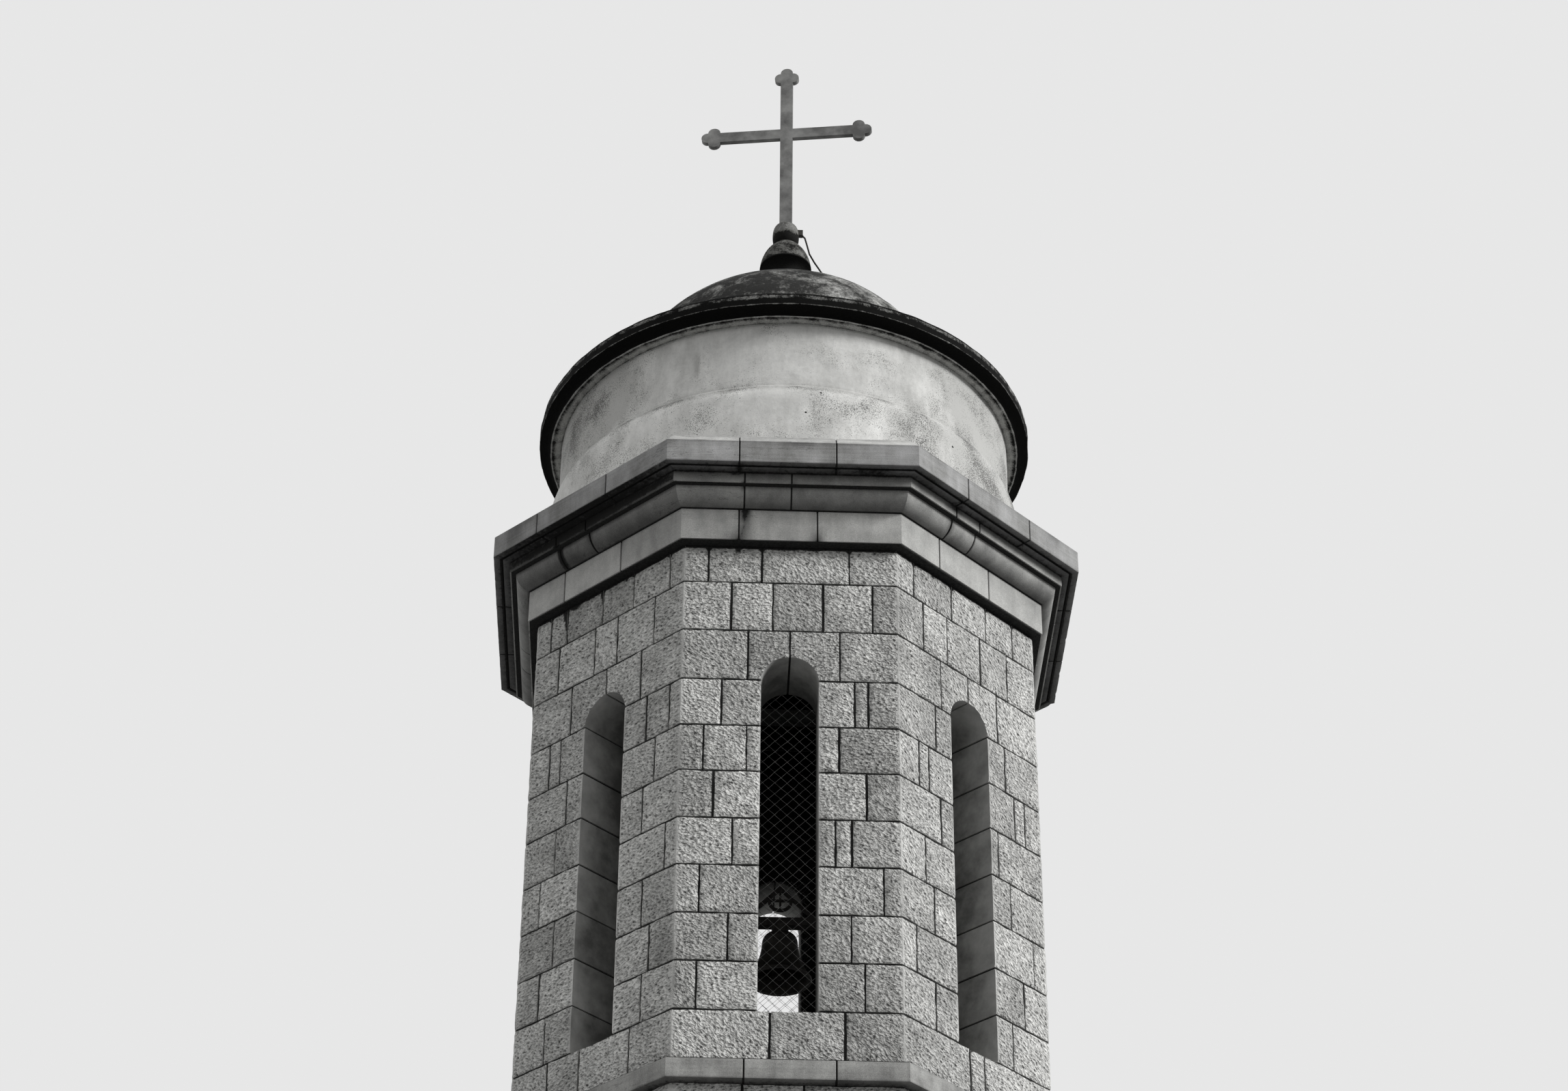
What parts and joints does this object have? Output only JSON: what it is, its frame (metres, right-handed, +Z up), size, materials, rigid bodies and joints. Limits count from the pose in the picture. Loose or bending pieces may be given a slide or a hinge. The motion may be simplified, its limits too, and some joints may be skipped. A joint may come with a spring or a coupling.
{
  "type": "bell tower",
  "caption": "Octagonal stone bell tower with an arched opening in each side of the bell stage, a moulded cornice, a round drum, a dome, a lobed cross and a swinging bell.",
  "frame": {"origin": "middle of the base course's underside, on the ground", "axes": "+Z up along the tower's axis, front face with the doorway towards -Y, +X to the right seen from the front"},
  "size_m": [3.58, 3.58, 17.5681],
  "materials": {
    "bell_bronze": "dark weathered bell bronze",
    "blackened_render": "render blackened by weather",
    "clip_bronze": "dark weathered bronze",
    "conductor_copper": "dark weathered copper rod",
    "dressed_limestone": "smooth dressed stone, stained dark under the cornice",
    "finial_cement": "turned cement, mottled",
    "floor_concrete": "plain concrete",
    "lime_render": "trowelled lime render, weathered",
    "oak_beam": "weathered oak",
    "oak_planks": "weathered oak planks",
    "painted_iron": "old grey paint on flat iron",
    "rock_faced_limestone": "rock-faced ashlar with narrow mortar joints",
    "rusted_iron": "dark rusted iron",
    "weathered_mortar": "mottled grey mortar shell"
  },
  "bodies": {
    "tower": {"base_course": "dressed_limestone", "bed_course": "dressed_limestone", "belfry_floor": "floor_concrete", "belfry_wall_back": "rock_faced_limestone", "belfry_wall_back_left": "rock_faced_limestone", "belfry_wall_back_right": "rock_faced_limestone", "belfry_wall_front": "rock_faced_limestone", "belfry_wall_front_left": "rock_faced_limestone", "belfry_wall_front_right": "rock_faced_limestone", "belfry_wall_left": "rock_faced_limestone", "belfry_wall_right": "rock_faced_limestone", "bell_beams": "oak_beam", "bell_bearings": "rusted_iron", "conductor_clamp": "clip_bronze", "conductor_clips": "clip_bronze", "corona": "dressed_limestone", "cross": "painted_iron", "dome": "weathered_mortar", "door": "oak_planks", "door_jamb_left": "rock_faced_limestone", "door_jamb_right": "rock_faced_limestone", "drum_back": "lime_render", "drum_front": "lime_render", "drum_left": "lime_render", "drum_right": "lime_render", "finial_ball": "finial_cement", "finial_urn": "finial_cement", "lightning_conductor": "conductor_copper", "ovolo_course": "dressed_limestone", "rim_moulding": "blackened_render", "shaft_wall_back": "rock_faced_limestone", "shaft_wall_back_left": "rock_faced_limestone", "shaft_wall_back_right": "rock_faced_limestone", "shaft_wall_front_left": "rock_faced_limestone", "shaft_wall_front_right": "rock_faced_limestone", "shaft_wall_left": "rock_faced_limestone", "shaft_wall_right": "rock_faced_limestone", "string_course": "dressed_limestone", "wall_over_door": "rock_faced_limestone", "weathering_course": "dressed_limestone"},
    "bell_assembly": {"bell": "bell_bronze", "bell_yoke": "rusted_iron", "clapper": "rusted_iron"}
  },
  "joints": [
    {"name": "bell_swing", "type": "hinge", "parent": "tower", "child": "bell_assembly", "pos_m": [0, 0, 10.675], "axis": [1, 0, 0], "range_deg": [-60, 60]}
  ]
}
